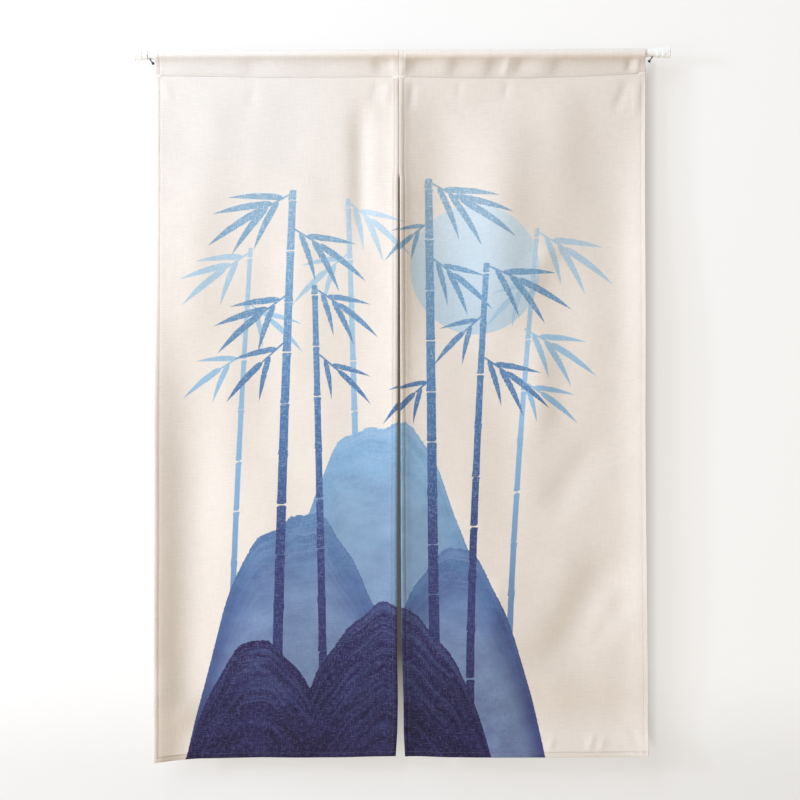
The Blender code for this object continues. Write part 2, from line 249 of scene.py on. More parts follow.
# How far the mist hides a hill's foot, and how thin the brush leaves the ink between its hairs
MIST = {"far_hill": 0.34, "middle_hill": 0.36, "near_hill": 0.0}
THINNED = {"far_hill": 0.55, "middle_hill": 0.50, "near_hill": 0.36}


def linear(code):
    """An sRGB hex value as linear red, green, blue and alpha."""
    parts = [int(code[i:i + 2], 16) / 255 for i in (1, 3, 5)]
    curve = [p / 12.92 if p <= 0.04045 else ((p + 0.055) / 1.055) ** 2.4 for p in parts]
    return (*curve, 1.0)


def read_column(table, place, key, column):
    """Reads a column of a table at places between its rows, by straight lines."""
    rows = sorted(table, key=lambda row: getattr(row, key))
    keys = [getattr(row, key) for row in rows]
    values = [getattr(row, column) for row in rows]
    return np.interp(place, keys, values)


def bell(distance, half_width):
    """A rounded bump: e to the minus half of the squared distance in half widths."""
    return np.exp(-0.5 * (distance / half_width) ** 2)


def ease(value):
    """A soft step: 0 below 0, 1 above 1, with level ends."""
    value = np.clip(value, 0.0, 1.0)
    return value * value * (3.0 - 2.0 * value)


def fold_rise(folds, x, z):
    """Sum of the folds: each falls off as a bell with the distance to its line, and
    fades in and out along it."""
    rise = np.zeros_like(x)
    for fold in folds:
        run = np.array((fold.x_low - fold.x_top, fold.z_low - fold.z_top))
        along = ((x - fold.x_top) * run[0] + (z - fold.z_top) * run[1]) / (run @ run)
        nearest = np.clip(along, 0.0, 1.0)
        away = np.hypot(x - fold.x_top - nearest * run[0], z - fold.z_top - nearest * run[1])
        strength = ease(0.12 + along / 0.38) * ease(0.12 + (1.0 - along) / 0.38)
        rise += fold.rise * strength * bell(away, fold.half_width)
    return rise


def slack_waves(x, z):
    """The small unevenness of hung cloth: six long sine waves crossing at odd angles."""
    rng = np.random.default_rng(11)
    rise = np.zeros_like(x)
    for length in (0.31, 0.23, 0.17, 0.12, 0.085, 0.061):
        turn = rng.uniform(0, math.pi)
        phase = rng.uniform(0, 2 * math.pi)
        along = x * math.cos(turn) + 0.6 * z * math.sin(turn)
        rise += 0.0032 * length * np.sin(2 * math.pi * along / length + phase)
    return rise


def cloth_rise(side, x, z):
    """How far the sheet stands in front of its hanging plane."""
    left = side == "left"
    row = read_column(LEVELS, x, "x", "stitch_row")
    seam = read_column(SIDES, z, "z", side + "_inner")
    reach = read_column(CRESTS, z, "z", side + "_reach")
    crest = read_column(CRESTS, z, "z", "rise") * np.exp(-np.abs(x - seam) / reach)
    if not left:
        lip = 0.0024 + 0.0016 * ease((SEAM_END - z) / 0.05)
        crest = crest + lip * np.exp(-np.abs(x - seam) / 0.0085) * ease((row - z) / 0.02)
    folds = fold_rise(LEFT_FOLDS if left else RIGHT_FOLDS, x, z)
    folds += slack_waves(x, z)
    creases = fold_rise(LEFT_CREASES if left else RIGHT_CREASES, x, z)
    flare = 0.0090 * ease((-1.165 - z) / 0.060) * ease((x - 0.010) / 0.080)
    return folds * ease((row - z) / 0.060) + crest + flare + creases * ease((row - z) / 0.006)


def marks_from_edge(near, step, total):
    """Places from 0 to a total: set marks near both ends and even steps between."""
    middle = np.linspace(near[-1], total - near[-1], int(round((total - 2 * near[-1]) / step)) + 1)
    return np.concatenate((near[:-1], middle, (total - np.array(near[:-1]))[::-1]))


EDGE_MARKS = (0.0, 0.0003, 0.0008, 0.0016, 0.0028, 0.0044, 0.0058, 0.0068, 0.0076,
              0.0084, 0.0092, 0.0100, 0.0108, 0.0130, 0.0165)
ROW_MARKS = (0.0, 0.0012, 0.0030, 0.0056, 0.0090, 0.0130)


def side_start(side):
    """x of a panel's left edge at its top."""
    return float(read_column(SIDES, 0.0, "z", "left_outer" if side == "left" else "right_inner"))


def sheet_middle(side, across, down):
    """Middle of the hanging sheet. across is metres from its left side, down is metres
    up from the hem. x runs straight between the side edges at that height, and y is the
    hanging plane less the rise."""
    share = across / PANEL_WIDTH
    x_rough = side_start(side) + across
    hem = read_column(LEVELS, x_rough, "x", "hem")
    row = read_column(LEVELS, x_rough, "x", "stitch_row")
    z = hem + (row - hem) * down / SHEET_DROP
    outer = read_column(SIDES, z, "z", side + "_outer")
    inner = read_column(SIDES, z, "z", side + "_inner")
    low, high = (outer, inner) if side == "left" else (inner, outer)
    x = low + share * (high - low)
    y = -ROD_TO_WALL - SOLID_CLOTH / 2 - cloth_rise(side, x, z)
    edges = ROLLS[side]
    roll = edges.left * np.exp(-across / edges.left_reach)
    roll = roll + edges.right * np.exp(-(PANEL_WIDTH - across) / edges.right_reach)
    return np.stack((x, y + roll * ease(-(z + 0.036) / 0.02), z), axis=-1)


def pocket_middle(x, y_row, z_row):
    """Middle of the rod pocket for a row of places x, as points (step, column, 3).

    From the stitch row it runs up a line that touches the circle over the rod, along
    that circle over the top, down the back and a little past the stitch row. The front
    line sinks in, and is gathered, but never past the rod or the back."""
    drop = LOOP_RADIUS - TUBE_RADIUS - CLOTH / 2 - 0.00005
    rod = np.stack((np.full_like(x, -ROD_TO_WALL), ROD_RISE * x - drop))
    starts = []
    touches = []
    turns = []
    for turn in (-1, 1):
        start = np.stack((y_row + turn * ROW_GAP / 2, z_row))
        gap = rod - start
        heading = np.arctan2(gap[1], gap[0]) - turn * np.arcsin(LOOP_RADIUS / np.hypot(*gap))
        touch = heading - turn * math.pi / 2
        turns.append(touch)
        starts.append(start)
        touches.append(rod + LOOP_RADIUS * np.stack((np.cos(touch), np.sin(touch))))
    climb = np.linspace(0.0, 1.0, 13)[1:-1, None]
    bow = 0.0030 * np.sin(math.pi * climb)
    back = starts[1][:, None] + climb * (touches[1] - starts[1])[:, None]
    back[0] += bow
    front = starts[0][:, None] + climb * (touches[0] - starts[0])[:, None]
    sink = POCKET_HOLLOW * np.sin(math.pi * climb ** 1.5) * np.ones_like(x)
    for pucker in PUCKERS:
        off = x - pucker.x - pucker.lean * climb
        # A hollow falls steeply on its left and climbs slowly on its right
        skew = 2.2 if pucker.rise < 0 else 1.0
        near = bell(np.where(off > 0, off / skew, off), pucker.half_width)
        sink = sink - pucker.rise * np.sin(math.pi * climb) ** 0.7 * near
    clear_rod = TUBE_RADIUS + CLOTH / 2 + 0.0002
    to_rod = clear_rod ** 2 - np.minimum(np.abs(front[1] - rod[1]), clear_rod) ** 2
    rod_face = np.where(to_rod > 0, rod[0] - np.sqrt(to_rod), 1.0)
    room = np.minimum(back[0] - ROW_GAP, rod_face) - front[0]
    room = np.maximum(room, 0.00005)
    front[0] += np.where(sink > 0, room * np.tanh(np.maximum(sink, 0.0) / room), sink)
    angle = turns[0] + np.linspace(0.0, 1.0, 17)[:, None] * (turns[1] - turns[0])
    arc = rod[:, None] + LOOP_RADIUS * np.stack((np.cos(angle), np.sin(angle)))
    below = np.array((0.0, 0.0012, 0.0030, 0.0036))[:, None]
    flap = np.stack((starts[1][0] + 0.0 * below, starts[1][1] - below))
    path = np.concatenate((front, arc, back[:, ::-1], flap), axis=1)
    return np.stack((np.broadcast_to(x, path.shape[1:]), path[0], path[1]), axis=-1)


def grid_normals(points):
    """Unit normals of a grid, from the cross product of its two directions."""
    along = np.gradient(points, axis=0)
    across = np.gradient(points, axis=1)
    normal = np.cross(across, along)
    return normal / np.linalg.norm(normal, axis=-1, keepdims=True)


def hem_relief(edge):
    """Front relief by the distance to a hemmed edge: a soft pad, the stitched groove and
    the step where the turned-in cloth ends."""
    pad = 0.00035 * bell(edge - 0.0042, 0.0024)
    groove = -0.00045 * bell(edge - STITCH_IN, 0.0009)
    ridge = 0.00030 * bell(edge - STITCH_IN - 0.0034, 0.0018)
    return pad + groove + ridge


def sheet_rows():
    """Places of the mesh's rows up from the hem, closer where the print has its leaves."""
    rows = [list(EDGE_MARKS[:-1])]
    for first, last, step in ((EDGE_MARKS[-1], 0.600, 0.0054), (0.600, 1.000, 0.0032),
                              (1.000, SHEET_DROP - ROW_MARKS[-1], 0.0050)):
        rows.append(np.arange(first, last - step / 2, step))
    rows.append((SHEET_DROP - np.array(ROW_MARKS))[::-1])
    return np.concatenate(rows)


def cloth_layers(side):
    """A panel on one grid, from the hem to the end of the rod pocket: middle points, their
    outward normals, both half thicknesses, flat places, where the cloth is hemmed, and its
    painted shading: painted shade above 0 and painted light below 0."""
    across = marks_from_edge(EDGE_MARKS, GRID_STEP, PANEL_WIDTH)
    down = sheet_rows()
    a, d = np.meshgrid(across, down)
    sheet = sheet_middle(side, a, d)
    top = sheet[-1]
    pocket = pocket_middle(top[:, 0], top[:, 1], top[:, 2])
    points = np.concatenate((sheet, pocket))
    normals = grid_normals(points)
    run = np.linalg.norm(np.diff(points[:, len(across) // 2], axis=0), axis=-1)
    length = np.concatenate(([0.0], np.cumsum(run)))
    edge = np.minimum(a[0], PANEL_WIDTH - a[0])[None, :].repeat(len(points), axis=0)
    foot = np.where(np.arange(len(points)) < len(down), length, 1.0)[:, None]
    foot = foot.repeat(len(across), axis=1)
    flap = (length[-1] - length)[:, None].repeat(len(across), axis=1)
    rim = np.minimum(np.minimum(edge, foot), flap)
    rounded = np.sqrt(np.clip(1 - (1 - rim / CLOTH) ** 2, 0.02, 1.0))
    rounded = np.where(rim > CLOTH, 1.0, rounded)
    hem_step = 0.0010
    hemmed = np.maximum(1 - ease((edge - SIDE_HEM) / hem_step),
                        1 - ease((foot - FOOT_HEM) / hem_step))
    row_gap = np.abs(length - SHEET_DROP)[:, None]
    groove = -0.0004 * bell(row_gap, 0.0012)
    # The sewn seam is drawn flat, so the inner hems stand out less above the slit
    left = side == "left"
    inwards = (a[0] - PANEL_WIDTH / 2) * (1 if left else -1)
    sewn = ease((points[..., 2] - SEAM_END) / 0.02)
    inner_damped = 0.45 + 0.35 * sewn if left else 0.5 * sewn
    outer_damped = 0.4 if left else 0.85
    damped = np.where(inwards > 0, inner_damped, outer_damped)
    relief = hem_relief(edge) * (1 - damped)
    relief = relief + hem_relief(foot) + groove
    front = (CLOTH / 2 + relief) * rounded
    back = (CLOTH / 2 + HEM_LAYERS * hemmed) * rounded
    flat = np.stack((a[0][None, :].repeat(len(points), axis=0),
                     length[:, None].repeat(len(across), axis=1)), axis=-1)
    past_row = flat[..., 1] - SHEET_DROP
    # Painted shade on the rod pocket, heavier on the right panel, away from the window, and a
    # painted highlight from where it turns over the top of the rod
    shade = 1.0 if left else 1.8
    pocket = shade * ease(past_row / 0.0015) - (1.7 + shade) * ease((past_row - 0.033) / 0.010)
    # Painted shade darkens the hems of the left panel's outer half most, low down, and painted
    # light brightens the right panel's outer hem
    if left:
        outer_painted_shading = 2.6 * (inwards < 0) * ease((-0.30 - points[..., 2]) / 0.35)
    else:
        outer_painted_shading = -1.2 * (inwards < 0) * (edge < 2 * SIDE_HEM)
    # Painted shading: painted shade on every hem, standing for less of the wall's light coming
    # through double cloth, and on the rod pocket; painted light where it is below 0
    painted_shading = np.where(past_row < 0.0, hemmed * (0.6 + outer_painted_shading), pocket)
    return points, normals, front, back, flat, hemmed, painted_shading


# A twig or a leaf: a tapering stroke that starts at a place and sags along its length
Stroke = namedtuple("Stroke", "x z heading length sag leaf")
MOST_STROKES = 6
TWIG_HALF_WIDTH = 0.0016


def spray_strokes(spray):
    """The twig of a spray and its leaves. The leaves leave the twig on both sides in
    turn, and the last goes on along it; all of them sag a little."""
    heading = math.radians(spray.heading)
    reach = 0.50 * spray.length
    strokes = [Stroke(spray.x, spray.z, heading, reach, 0.0, False)]
    for leaf in range(spray.leaves):
        last = leaf == spray.leaves - 1
        share = 0.30 + 0.70 * leaf / (spray.leaves - 1)
        turn = 0.0 if last else math.radians(34 - 5 * leaf) * (1 if leaf % 2 else -1)
        length = spray.length * (0.74 + 0.20 * share - (0.0 if last else 0.05 * (leaf % 2)))
        sag = 0.11 if math.cos(heading + turn) > 0 else -0.11
        x = spray.x + share * reach * math.cos(heading)
        z = spray.z + share * reach * math.sin(heading)
        strokes.append(Stroke(x, z, heading + turn, length, sag, True))
    return strokes


def stroke_place(stroke, x, z):
    """A stroke's half width beside a point, and how far the point lies off its curved
    middle line. A leaf widens fast from its base and tapers to a long point; beyond the
    ends the half width falls below zero."""
    cos, sin = math.cos(stroke.heading), math.sin(stroke.heading)
    along = ((x - stroke.x) * cos + (z - stroke.z) * sin) / stroke.length
    inside = np.clip(along, 0.0, 1.0)
    off = (z - stroke.z) * cos - (x - stroke.x) * sin + stroke.sag * stroke.length * inside ** 2
    if stroke.leaf:
        width = 0.070 * stroke.length * np.sin(math.pi * inside ** 0.55) ** 0.85 - 0.0002
        beyond_tip = 0.15
    else:
        width = TWIG_HALF_WIDTH
        beyond_tip = 1.0
    outside = np.maximum(-along, 0.0) + beyond_tip * np.maximum(along - 1, 0.0)
    return width - stroke.length * outside, off


def stroke_fields(layer, sprays, x, z):
    """Half width and way off for the nearest stroke of each order in a layer. Stored so,
    a thin point stays sharp between the mesh's vertices. Far off its line a stroke's half
    width is brought below zero, so that nothing shows where the nearest one changes."""
    fields = {}
    for order in range(MOST_STROKES):
        best = np.full_like(x, -1e3)
        width = np.full_like(x, -0.02)
        off = np.zeros_like(x)
        for strokes in map(spray_strokes, sprays):
            if order < len(strokes):
                its_width, its_off = stroke_place(strokes[order], x, z)
                inside = its_width - np.abs(its_off)
                nearer = inside > best
                best = np.where(nearer, inside, best)
                width = np.where(nearer, its_width, width)
                off = np.where(nearer, its_off, off)
        width = width - 2.5 * np.maximum(np.abs(off) - 0.006, 0.0)
        fields[f"{layer}_stroke_{order}"] = np.stack((width, off, 0.0 * off), axis=-1)
    return fields


def hill_line(hill, x):
    """Height of a hill's outline: a round-shouldered hump with small swells."""
    place = np.clip(np.abs(x - hill.x) / hill.half_width, 0.0, 1.25)
    line = hill.z_top + (-1.30 - hill.z_top) * place ** 2.3
    swell = np.sin(x * 47 + hill.phase) + 0.4 * np.sin(x * 113 + hill.phase * 2)
    return line + hill.swell * swell


def culm_depth(culm, x, z):
    """How deep a point lies in a bamboo culm: a slanting bar, thicker at its joints,
    cut by a thin gap at each joint."""
    foot = -1.24
    share = np.clip((z - foot) / (culm.z_head - foot), 0.0, 1.0)
    middle = culm.x_foot + (culm.x_head - culm.x_foot) * share ** 1.4
    half = culm.width / 2 * (1 - 0.35 * share)
    spacing = 0.088
    joint = np.abs((z - culm.z_head + 0.7 * spacing) / spacing % 1.0 - 0.5) * spacing
    half = half + 0.0016 * bell(joint, 0.0035)
    depth = half - np.abs(x - middle)
    gap = joint - 0.0013
    return np.minimum(np.minimum(depth, culm.z_head - z), gap)


def print_fields(x, z):
    """What the print's material reads: for each layer how deep each point lies in it, in
    metres, and the fields of its strokes."""
    shapes = {layer: [] for layer in PRINT_COLOURS}
    shapes["disc"].append(DISC_RADIUS - np.hypot(x - DISC_PLACE[0], z - DISC_PLACE[1]))
    for hill in HILLS:
        shapes[hill.layer].append(hill_line(hill, x) - z)
    for culm in CULMS:
        shapes[culm.layer].append(culm_depth(culm, x, z))
    fields = {layer: np.maximum.reduce(depths) for layer, depths in shapes.items()}
    for layer, sprays in SPRAYS.items():
        fields.update(stroke_fields(layer, sprays, x, z))
    return fields


def grid_faces(rows, columns, start=0, flip=False):
    """Quads of a grid of points that is numbered row by row."""
    index = np.arange(rows * columns).reshape(rows, columns) + start
    quads = np.stack((index[:-1, :-1], index[:-1, 1:], index[1:, 1:], index[1:, :-1]), axis=-1)
    quads = quads.reshape(-1, 4)
    return quads[:, ::-1] if flip else quads


def rim_faces(rows, columns):
    """Quads that join the rims of a front grid and the back grid numbered after it."""
    index = np.arange(rows * columns).reshape(rows, columns)
    rim = np.concatenate((index[0, :-1], index[:-1, -1], index[-1, :0:-1], index[:0:-1, 0]))
    after = np.roll(rim, -1)
    back = rows * columns
    return np.stack((rim, rim + back, after + back, after), axis=-1)


def new_piece(name, points, quads, material):
    """A smooth mesh object at the origin, riding on the one body."""
    mesh = bpy.data.meshes.new(name)
    mesh.from_pydata(np.reshape(points, (-1, 3)), [], np.asarray(quads).tolist())
    mesh.update()
    mesh.materials.append(material)
    mesh.shade_smooth()
    piece = bpy.data.objects.new(name, mesh)
    bpy.context.scene.collection.objects.link(piece)
    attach(piece, "root")
    return piece


def set_attribute(mesh, name, values, vector=False):
    """Stores one number, or one vector, for each vertex."""
    layer = mesh.attributes.new(name, "FLOAT_VECTOR" if vector else "FLOAT", "POINT")
    layer.data.foreach_set("vector" if vector else "value", np.asarray(values, np.float32).ravel())


def set_flat_map(mesh, flat):
    """The panel's own UV map, in metres on the flat cloth."""
    layer = mesh.uv_layers.new(name="flat_cloth")
    corner = np.empty(len(mesh.loops), np.int32)
    mesh.loops.foreach_get("vertex_index", corner)
    layer.uv.foreach_set("vector", flat.reshape(-1, 2)[corner].astype(np.float32).ravel())


def make_cloth(side, material):
    """One panel as a closed sheet: front and back grids a cloth's thickness apart."""
    points, normals, front, back, flat, hemmed, painted_shading = cloth_layers(side)
    rows, columns = points.shape[:2]
    face = points + normals * front[..., None]
    rear = points - normals * back[..., None]
    quads = np.concatenate((grid_faces(rows, columns),
                            grid_faces(rows, columns, rows * columns, flip=True),
                            rim_faces(rows, columns)))
    piece = new_piece(side + "_cloth", np.concatenate((face, rear)), quads, material)
    x = flat[..., 0] + side_start(side)
    z = flat[..., 1] - SHEET_DROP - ROW_DROP
    for name, field in print_fields(x, z).items():
        set_attribute(piece.data, name, np.concatenate((field, field)), field.ndim > x.ndim)
    set_attribute(piece.data, "height", np.concatenate((z, z)))
    shown = np.concatenate((np.ones_like(hemmed), hemmed))
    set_attribute(piece.data, "printed_face", shown)
    set_attribute(piece.data, "painted_shading", np.concatenate((painted_shading, painted_shading)))
    shift = 0.0 if side == "left" else 0.7
    set_flat_map(piece.data, np.concatenate((flat + shift, flat + shift)))
    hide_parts(side + "_panel")
    return piece


def stitches(name, centres, headings, normals, flat, length, radius, material):
    """Many short stitches in one mesh: each a bowed tube, sunk at both ends. flat is the
    place of each on the flat cloth, with x as hung, by which it takes up the print."""
    rings, sides = 5, 6
    along = np.linspace(-0.5, 0.5, rings)
    lift = np.cos(math.pi * along) * radius * 1.3 - radius * 0.55
    thin = np.array((0.35, 0.9, 1.0, 0.9, 0.35))
    turn = np.arange(sides) * 2 * math.pi / sides
    binormals = np.cross(headings, normals)
    grid = centres[:, None, None, :]
    grid = grid + headings[:, None, None, :] * (along * length)[None, :, None, None]
    up = lift[:, None] + radius * thin[:, None] * np.sin(turn)[None, :]
    out = radius * thin[:, None] * np.cos(turn)[None, :]
    grid = grid + normals[:, None, None, :] * up[None, :, :, None]
    grid = grid + binormals[:, None, None, :] * out[None, :, :, None]
    count = len(centres)
    index = np.arange(count * rings * sides).reshape(count, rings, sides)
    after = np.roll(index, -1, axis=2)
    tube = np.stack((index[:, :-1], index[:, 1:], after[:, 1:], after[:, :-1]), axis=-1)
    tube = tube.reshape(-1, 4)
    ends = []
    for ring, order in ((0, (0, 1, 2, 3)), (rings - 1, (3, 2, 1, 0))):
        cap = index[:, ring]
        ends.append(cap[:, order])
        ends.append(cap[:, [(k + 3) % sides for k in order]])
    quads = np.concatenate([tube] + ends)
    piece = new_piece(name, grid, quads, material)
    each = rings * sides
    for field_name, field in print_fields(flat[:, 0], flat[:, 1]).items():
        set_attribute(piece.data, field_name, np.repeat(field, each, axis=0), field.ndim > 1)
    set_attribute(piece.data, "height", np.repeat(flat[:, 1], each))
    set_flat_map(piece.data, np.repeat(flat, each, axis=0))
    return piece


def surface_frame(side, across, down, to_side):
    """Front points, stitch headings and outward normals on the hanging sheet."""
    step = 0.0005
    here = sheet_middle(side, across, down)
    right = sheet_middle(side, across + step, down) - sheet_middle(side, across - step, down)
    up = sheet_middle(side, across, down + step) - sheet_middle(side, across, down - step)
    normal = np.cross(right, up)
    normal /= np.linalg.norm(normal, axis=-1, keepdims=True)
    heading = right if to_side else up
    heading = heading / np.linalg.norm(heading, axis=-1, keepdims=True)
    flat = np.stack((across + side_start(side), down - SHEET_DROP - ROW_DROP), axis=-1)
    return here + normal * (CLOTH / 2 - 0.0003), heading, normal, flat


def sew_panel(side, material):
    """The stitch rows of a panel's side hems, foot hem and rod pocket."""
    pitch, length, radius = 0.0036, 0.0023, 0.00038
    rng = np.random.default_rng(5 if side == "left" else 6)
    parts = []
    upright = np.arange(0.004, SHEET_DROP, pitch)
    level = np.arange(0.003, PANEL_WIDTH - 0.002, pitch)
    runs = (
        (np.full_like(upright, STITCH_IN), upright, False),
        (np.full_like(upright, PANEL_WIDTH - STITCH_IN), upright, False),
        (level, np.full_like(level, STITCH_IN), True),
        (level, np.full_like(level, SHEET_DROP - 0.0002), True),
    )
    for across, down, to_side in runs:
        wander = rng.normal(0, 0.00012, len(across))
        parts.append(surface_frame(side, across + (0 if to_side else wander),
                                   down + (wander if to_side else 0), to_side))
    centres, headings, normals, flat = (np.concatenate(column) for column in zip(*parts))
    return stitches(side + "_stitching", centres, headings, normals, flat, length, radius, material)


def sew_seam(material):
    """Short stitches that join the two panels down to the slit, a bar tack at the slit's
    head and one at the end of the pocket's row."""
    seam_length = -SEAM_END - ROW_DROP
    # Places down from the stitch row, across from the right panel's edge, and a small move
    runs = (
        (np.arange(0.008, seam_length, 0.0032), 0.0006, (-0.0008, -0.0002), (0.96, 0.0, 0.28)),
        (np.linspace(-0.0030, 0.0030, 9) + seam_length, 0.0004, (-0.0006, 0.0), (1.0, 0.0, 0.0)),
        (np.linspace(-0.0005, 0.0060, 7), 0.0072, (0.0, 0.0), (1.0, 0.0, 0.0)),
    )
    parts = []
    for drops, across, move, heading in runs:
        centre, _, _, flat = surface_frame("right", np.full_like(drops, across),
                                           SHEET_DROP - drops, True)
        centre[:, :2] += move
        parts.append((centre, np.tile(heading, (len(drops), 1)), flat))
    centres, headings, flat = (np.concatenate(column) for column in zip(*parts))
    normals = np.tile((0.0, -1.0, 0.0), (len(centres), 1))
    stitches("seam_stitching", centres, headings, normals, flat, 0.0030, 0.00028, material)


def node(tree, kind, values=None, **settings):
    """Adds a node with its settings; values maps an input to a value or to a socket."""
    made = tree.nodes.new(kind)
    for key, value in settings.items():
        setattr(made, key, value)
    for key, value in (values or {}).items():
        if isinstance(value, bpy.types.NodeSocket):
            tree.links.new(value, made.inputs[key])
        else:
            made.inputs[key].default_value = value
    return made


def new_material(name, **sockets):
    """A material whose constant numbers sit on the shader's own sockets."""
    material = bpy.data.materials.new(name)
    material.use_nodes = True
    shader = material.node_tree.nodes["Principled BSDF"]
    for key, value in sockets.items():
        shader.inputs[key.replace("_", " ")].default_value = value
    return material, material.node_tree, shader


def maths(tree, operation, first, second=0.0, third=0.0):
    """One number worked out from up to three others."""
    values = {0: first, 1: second, 2: third}
    return node(tree, "ShaderNodeMath", values, operation=operation).outputs[0]


def remap(tree, value, low, high, at_low=0.0, at_high=1.0, kind="SMOOTHSTEP"):
    """A number carried from one range to another, and held at its ends."""
    values = {"Value": value, "From Min": low, "From Max": high,
              "To Min": at_low, "To Max": at_high}
    return node(tree, "ShaderNodeMapRange", values, interpolation_type=kind).outputs[0]


def stored(tree, name, output="Fac"):
    """What the mesh stores under a name."""
    return node(tree, "ShaderNodeAttribute", attribute_name=name).outputs[output]


def axis_of(tree, vector, axis):
    """One part of a vector."""
    return node(tree, "ShaderNodeSeparateXYZ", {0: vector}).outputs[axis]


def blend_colour(tree, share, under, over, kind="MIX"):
    """A colour mixed from two by a share from 0 to 1."""
    mix = node(tree, "ShaderNodeMix", {"Factor": share}, data_type="RGBA", blend_type=kind)
    for key, value in ((6, under), (7, over)):
        if isinstance(value, bpy.types.NodeSocket):
            tree.links.new(value, mix.inputs[key])
        else:
            mix.inputs[key].default_value = value
    return mix.outputs[2]


def add_bump(tree, shader, relief, strength, distance):
    """Fine relief that a shader's normal takes up."""
    values = {"Strength": strength, "Distance": distance, "Height": relief}
    bump = node(tree, "ShaderNodeBump", values)
    tree.links.new(bump.outputs[0], shader.inputs["Normal"])


def streaks(tree, flat, across_mm, along_mm, detail=1.0, shift=0.0):
    """Noise stretched into threads: its grain is so many mm wide and so many long."""
    scale = (1000 / across_mm, 1000 / along_mm, 1.0)
    moved = node(tree, "ShaderNodeMapping",
                 {"Vector": flat, "Scale": scale, "Location": (shift, shift * 0.7, 0.0)})
    return node(tree, "ShaderNodeTexNoise",
                {"Vector": moved.outputs[0], "Scale": 1.0, "Detail": detail, "Roughness": 0.55},
                noise_dimensions="2D").outputs["Fac"]


def height_ramp(tree, height, stops):
    """A colour by height on the cloth. Each stop is metres below the rod and a hex code."""
    drop = 1.26
    share = remap(tree, height, 0.0, -drop, kind="LINEAR")
    ramp = node(tree, "ShaderNodeValToRGB", {"Fac": share})
    elements = ramp.color_ramp.elements
    while len(elements) < len(stops):
        elements.new(0.5)
    for element, (place, code) in zip(elements, stops):
        element.position = place / drop
        element.color = linear(code)
    return ramp.outputs["Color"]


def brushed_ink(tree, layer, ink, flat, depth, height, cloud):
    """A hill's ink, thinner between the brush's hairs, which follow the outline, and
    mistier well below it."""
    drawn = node(tree, "ShaderNodeCombineXYZ", {0: axis_of(tree, flat, 0), 1: depth}).outputs[0]
    hairs = streaks(tree, drawn, 70.0, 3.4, 2.0, 1.7)
    bands = streaks(tree, drawn, 160.0, 17.0, 1.0, 8.3)
    brush = maths(tree, "MULTIPLY_ADD", hairs, 0.55, maths(tree, "MULTIPLY", bands, 0.45))
    bare = remap(tree, brush, 0.42, 0.70, at_high=THINNED[layer])
    pale = height_ramp(tree, height, ((0.60, "#A9C2D6"), (0.95, "#5E74A0"), (1.22, "#3B3668")))
    ink = blend_colour(tree, bare, ink, pale)
    far = remap(tree, depth, 0.02, 0.17, at_high=MIST[layer])
    mist = maths(tree, "MULTIPLY", far, maths(tree, "ADD", cloud, 0.5))
    return blend_colour(tree, mist, ink, linear("#9DB4CC"))


def ink_colour(tree, flat, yarn, ground):
    """The print over a ground colour, how much of the cloth it covers, and the height.

    Each layer covers where a point lies inside it. Its colour goes by height, and a hill's
    has clouds. A hill also frays a little at its outline."""
    height = stored(tree, "height")
    cloud = streaks(tree, flat, 55.0, 38.0, 4.0, 4.4)
    clouded = maths(tree, "MULTIPLY_ADD", maths(tree, "SUBTRACT", cloud, 0.5), 0.34, height)
    ragged = maths(tree, "MULTIPLY", maths(tree, "SUBTRACT", yarn, 0.5), 0.0016)
    wobble = maths(tree, "SUBTRACT", streaks(tree, flat, 9.0, 5.0, 3.0, 6.2), 0.5)
    colour = ground
    cover = None
    for layer, colours in PRINT_COLOURS.items():
        depth = stored(tree, layer)
        for order in range(MOST_STROKES if layer in SPRAYS else 0):
            stroke = stored(tree, f"{layer}_stroke_{order}", "Vector")
            width = axis_of(tree, stroke, 0)
            off = maths(tree, "ABSOLUTE", axis_of(tree, stroke, 1))
            depth = maths(tree, "MAXIMUM", depth, maths(tree, "SUBTRACT", width, off))
        depth = maths(tree, "ADD", depth, ragged)
        if layer in MIST:
            depth = maths(tree, "MULTIPLY_ADD", wobble, 0.008, depth)
            ink = height_ramp(tree, clouded, colours)
            ink = brushed_ink(tree, layer, ink, flat, depth, height, cloud)
        else:
            ink = height_ramp(tree, height, colours)
        inked = remap(tree, depth, -0.0004, 0.0004)
        colour = blend_colour(tree, inked, colour, ink)
        cover = inked if cover is None else maths(tree, "MAXIMUM", cover, inked)
    return colour, cover, height


def yarn_grain(tree, flat):
    """The uneven yarns of both directions, as one grain about 0.5."""
    # Yarns lie 0.6 mm apart on the real cloth. That is too fine to show, so the grain is
    # drawn 1.7 mm wide, as the thick and thin yarns show in groups.
    warp = streaks(tree, flat, 1.7, 34.0, 2.0)
    weft = streaks(tree, flat, 30.0, 1.7, 2.0, 3.1)
    return maths(tree, "MULTIPLY", maths(tree, "ADD", warp, weft), 0.5)


